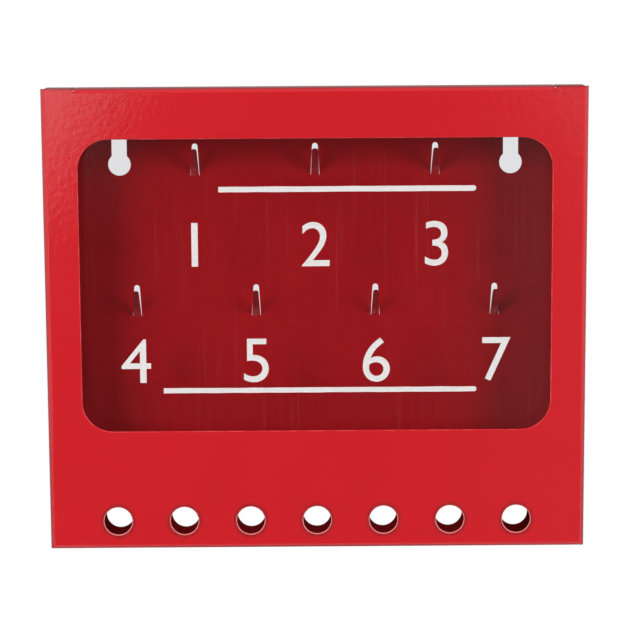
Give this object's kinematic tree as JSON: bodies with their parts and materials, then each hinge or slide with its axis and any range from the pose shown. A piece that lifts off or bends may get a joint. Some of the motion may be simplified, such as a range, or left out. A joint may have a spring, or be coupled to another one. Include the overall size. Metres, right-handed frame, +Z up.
{
  "type": "group lockout box",
  "caption": "Slim wall box in folded red sheet steel: a hinged cover with a clear window and a row of padlock holes, over a back panel with key hooks and keyholes.",
  "frame": {"origin": "centre of the back panel's rear face, which lies on the wall", "axes": "+Z up, -Y out of the wall towards the user, +X to the user's right"},
  "size_m": [0.3068, 0.0191, 0.2642],
  "materials": {
    "powder_coat": "gloss",
    "clear_sheet": "clear",
    "zinc_plate": "zinc plated",
    "spring_steel": "oiled"
  },
  "bodies": {
    "back": {"back_panel": "powder_coat", "fixed_hinge_leaf": "powder_coat", "hinge_pin": "zinc_plate"},
    "cover": {"front_cover": "powder_coat", "moving_hinge_leaf": "powder_coat", "window_pane": "clear_sheet", "window_stud_1": "zinc_plate", "window_stud_2": "zinc_plate", "window_stud_3": "zinc_plate", "window_stud_4": "zinc_plate", "window_stud_5": "zinc_plate", "window_stud_6": "zinc_plate", "window_stud_7": "zinc_plate", "window_stud_8": "zinc_plate", "window_stud_9": "zinc_plate", "window_stud_10": "zinc_plate", "push_nut_1": "spring_steel", "push_nut_2": "spring_steel", "push_nut_3": "spring_steel", "push_nut_4": "spring_steel", "push_nut_5": "spring_steel", "push_nut_6": "spring_steel", "push_nut_7": "spring_steel", "push_nut_8": "spring_steel", "push_nut_9": "spring_steel", "push_nut_10": "spring_steel"}
  },
  "joints": [
    {"name": "cover_hinge", "type": "hinge", "parent": "back", "child": "cover", "pos_m": [0, -0.0035, 0.1286], "axis": [-1, 0, 0], "range_deg": [0, 90]}
  ]
}
